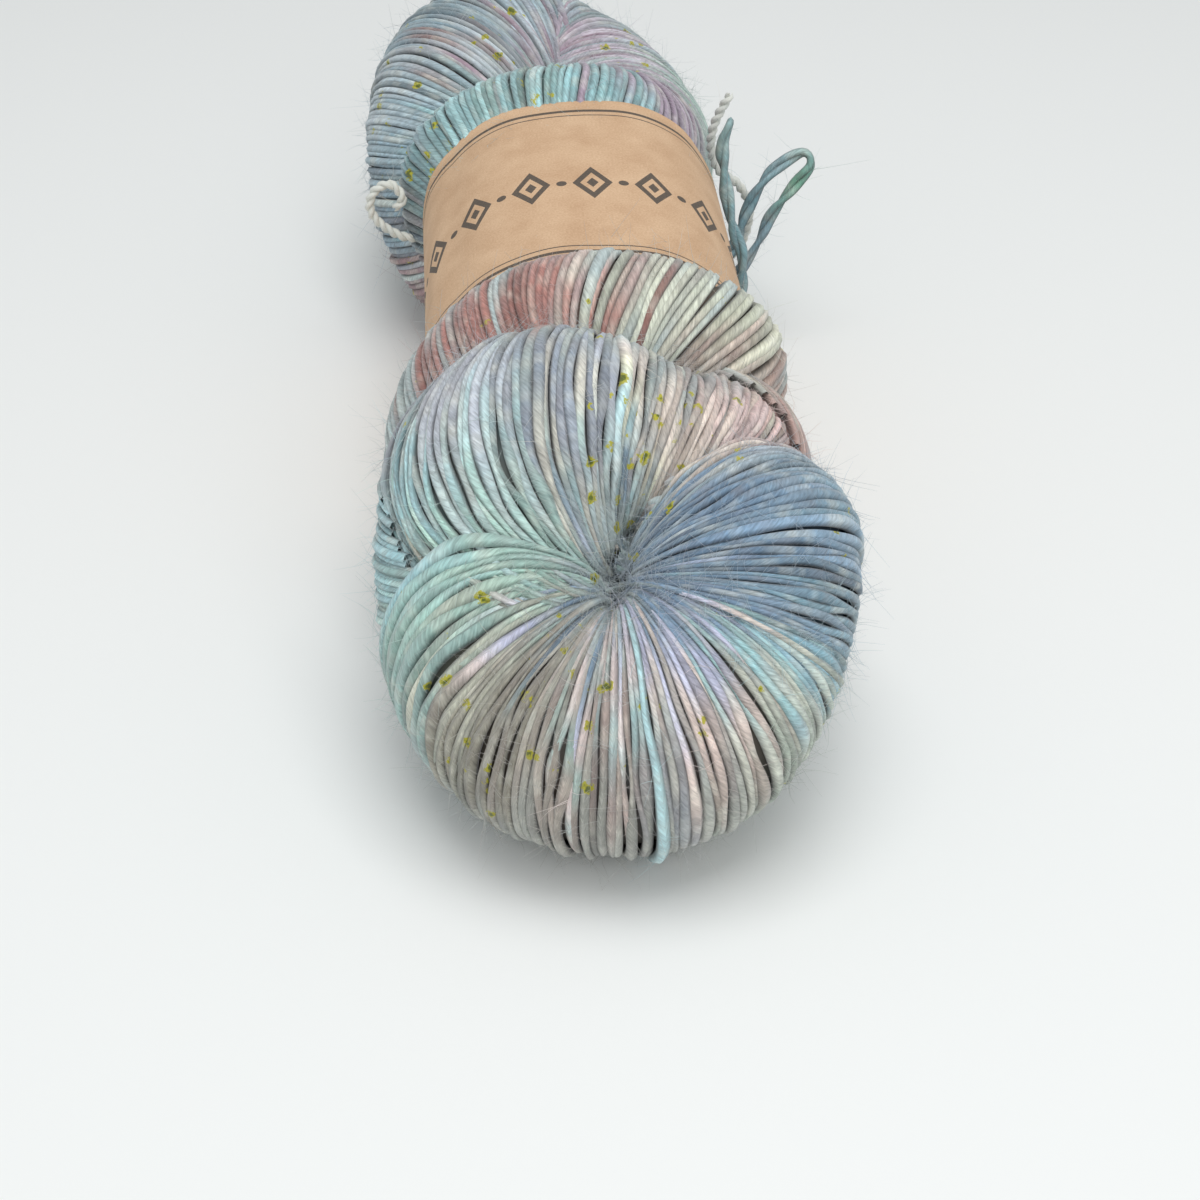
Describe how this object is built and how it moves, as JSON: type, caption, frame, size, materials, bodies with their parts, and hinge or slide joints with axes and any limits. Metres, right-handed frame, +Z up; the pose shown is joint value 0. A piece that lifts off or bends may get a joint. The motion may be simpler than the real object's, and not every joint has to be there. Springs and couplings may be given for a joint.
{
  "type": "skein of yarn",
  "caption": "Twisted hank of hand-dyed yarn lying on its side, with a plain kraft paper band round its middle and yarn and cotton tie ends beside the band.",
  "frame": {"origin": "on the table, under the middle of the hank's outer box", "axes": "+Y along the hank from the end with the open rosette fold towards the far end, +X across it, +Z up"},
  "size_m": [0.1041, 0.2765, 0.0775],
  "materials": {
    "dyed_yarn": "soft single-ply wool with a light fuzz, dyed in blue, grey-green, cream and mauve with small olive speckles",
    "kraft_paper": "uncoated brown kraft paper, matt",
    "tie_yarn": "the same yarn, dyed teal",
    "cotton_string": "undyed two-ply cotton string, matt"
  },
  "bodies": {
    "root": {"hank": "dyed_yarn", "paper_band": "kraft_paper", "yarn_tie_bow": "tie_yarn", "yarn_tie_end": "tie_yarn", "cotton_tie_end": "cotton_string", "cotton_tie_loop": "cotton_string"}
  },
  "joints": []
}
